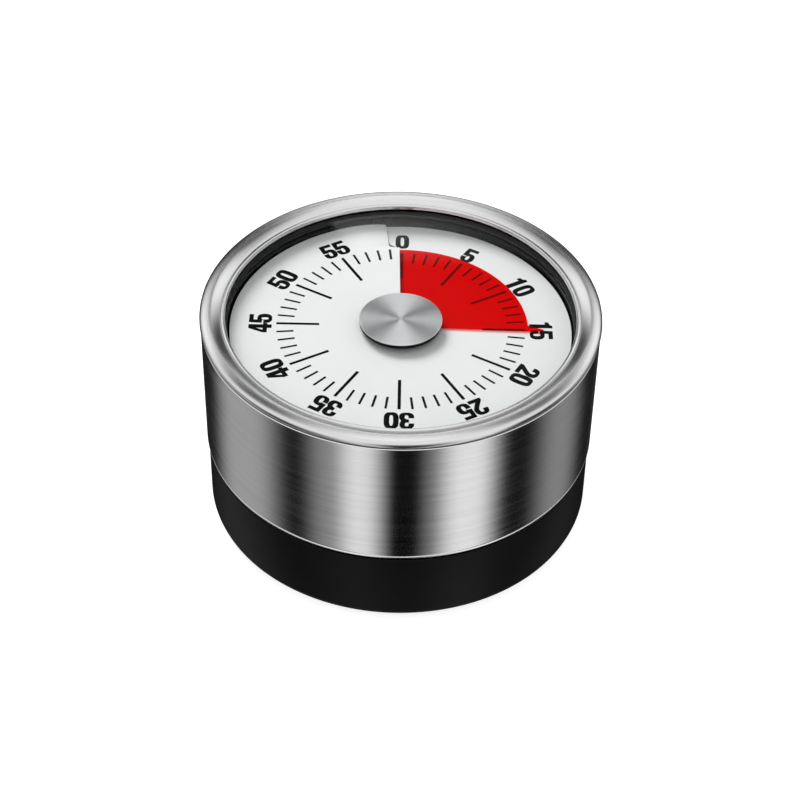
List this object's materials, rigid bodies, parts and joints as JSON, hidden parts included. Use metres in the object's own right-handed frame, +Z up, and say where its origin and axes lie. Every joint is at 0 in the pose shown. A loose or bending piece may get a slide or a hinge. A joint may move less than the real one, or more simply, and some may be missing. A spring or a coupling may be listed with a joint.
{
  "type": "kitchen timer",
  "caption": "Wind-up kitchen timer: a steel drum turns on a black base, a red disc shows the minutes left on a white dial, and a bell rings at zero.",
  "frame": {"origin": "the middle of the foot's underside, where the timer stands", "axes": "+Z up along the drum axis, +Y towards 0 on the dial, +X towards 15"},
  "size_m": [0.076, 0.076, 0.0454],
  "materials": {
    "steel": "circular brushed stainless steel",
    "black_shell": "matte black moulded ABS",
    "black_inner": "glossy black moulded plastic",
    "window": "clear window",
    "dial_white": "white printed dial",
    "disc_red": "red see-through film",
    "rubber": "soft rubber",
    "brass": "rolled brass",
    "zinc": "zinc plated steel",
    "ferrite": "sintered ferrite",
    "bell": "pressed bell steel",
    "white_plastic": "natural acetal"
  },
  "bodies": {
    "base": {"base_cup": "black_shell", "base_plate": "black_shell", "rubber_foot": "rubber", "magnet": "ferrite", "magnet_keeper": "zinc", "base_screw_1": "zinc", "base_screw_2": "zinc", "base_screw_3": "zinc", "bell": "bell", "bell_post": "brass", "bell_screw": "zinc", "bottom_plate": "brass", "top_plate": "brass", "pillar_1": "brass", "pillar_2": "brass", "pillar_3": "brass", "pillar_screw_1": "zinc", "pillar_screw_2": "zinc", "pillar_screw_3": "zinc", "movement_screw_1": "zinc", "movement_screw_2": "zinc", "movement_screw_3": "zinc", "spring_post": "zinc", "mainspring": "zinc", "dial_carrier": "black_shell", "dial_plate": "dial_white", "carrier_post_1": "brass", "carrier_post_2": "brass", "carrier_post_3": "brass", "carrier_screw_1": "zinc", "carrier_screw_2": "zinc", "carrier_screw_3": "zinc"},
    "drum": {"bezel": "steel", "drum_shell": "steel", "drum_liner": "black_inner", "lens": "window", "lens_seal": "rubber", "hub_cap": "steel", "hub_body": "black_shell", "main_arbor": "zinc", "arbor_clip": "zinc", "ratchet_wheel": "zinc", "alarm_cam": "white_plastic"},
    "disc": {"red_disc": "disc_red", "disc_collar": "disc_red"},
    "main_gear": {"main_wheel": "brass", "click_spring": "zinc"},
    "click_arm": {"click": "zinc"},
    "second_gear": {"second_wheel": "brass", "second_arbor": "zinc"},
    "third_gear": {"third_wheel": "brass", "third_arbor": "zinc"},
    "escape_gear": {"escape_wheel": "brass", "escape_arbor": "zinc"},
    "strike_gear": {"strike_wheel": "zinc"},
    "balance_bar": {"pallet_lever": "zinc", "balance": "brass"},
    "hammer": {"hammer_arm": "zinc", "hammer_head": "brass"},
    "alarm_lever": {"release_lever": "zinc"}
  },
  "joints": [
    {"name": "drum_twist", "type": "hinge", "parent": "base", "child": "drum", "pos_m": [0, 0, 0], "axis": [0, 0, 1], "range_deg": [-264, 90], "deforming": ["mainspring"]},
    {"name": "disc_lift", "type": "slide", "parent": "drum", "child": "disc", "axis": [0, 0, 1], "range_m": [-0.000252, 0.0007353]},
    {"name": "main_wheel_turn", "type": "hinge", "parent": "base", "child": "main_gear", "pos_m": [0, 0, 0], "axis": [0, 0, 1], "range_deg": [-264.1, 90.1]},
    {"name": "second_wheel_turn", "type": "hinge", "parent": "base", "child": "second_gear", "pos_m": [-0.01738, -0.00633, 0], "axis": [0, 0, 1], "range_deg": [-576.5, 1690.1]},
    {"name": "third_wheel_turn", "type": "hinge", "parent": "base", "child": "third_gear", "pos_m": [-0.01072, -0.01508, 0], "axis": [0, 0, 1], "range_deg": [-7604.2, 2593]},
    {"name": "escape_wheel_turn", "type": "hinge", "parent": "base", "child": "escape_gear", "pos_m": [-0.00026, -0.0185, 0], "axis": [0, 0, 1], "range_deg": [-11666, 34216.4]},
    {"name": "strike_wheel_turn", "type": "hinge", "parent": "base", "child": "strike_gear", "pos_m": [0.00942, 0.01592, 0], "axis": [0, 0, 1], "range_deg": [-576.5, 1690.1]},
    {"name": "balance_swing", "type": "hinge", "parent": "base", "child": "balance_bar", "pos_m": [0.00933, -0.01597, 0], "axis": [0, 0, 1], "range_deg": [-5, 5]},
    {"name": "hammer_swing", "type": "hinge", "parent": "base", "child": "hammer", "pos_m": [0.01984, 0.01665, 0], "axis": [0, 0, 1], "range_deg": [-3.5, 8], "stiffness_Nm_per_rad": 0.02},
    {"name": "alarm_lever_lift", "type": "hinge", "parent": "base", "child": "alarm_lever", "pos_m": [0.00025, 0.0152, 0], "axis": [0, 0, 1], "range_deg": [0, 6], "stiffness_Nm_per_rad": 0.01, "springref_deg": -11.46},
    {"name": "click_lift", "type": "hinge", "parent": "main_gear", "child": "click_arm", "pos_m": [-0.00779, 0.0045, 0], "axis": [0, 0, 1], "range_deg": [0, 8], "stiffness_Nm_per_rad": 0.005, "springref_deg": -11.46}
  ],
  "couplings": [
    {"joint": "disc_lift", "follows": "drum_twist", "m_per_rad": -0.00015915},
    {"joint": "main_wheel_turn", "follows": "drum_twist", "ratio": 1},
    {"joint": "second_wheel_turn", "follows": "drum_twist", "ratio": -6.4},
    {"joint": "third_wheel_turn", "follows": "drum_twist", "ratio": 28.8},
    {"joint": "escape_wheel_turn", "follows": "drum_twist", "ratio": -129.6},
    {"joint": "strike_wheel_turn", "follows": "drum_twist", "ratio": -6.4}
  ]
}
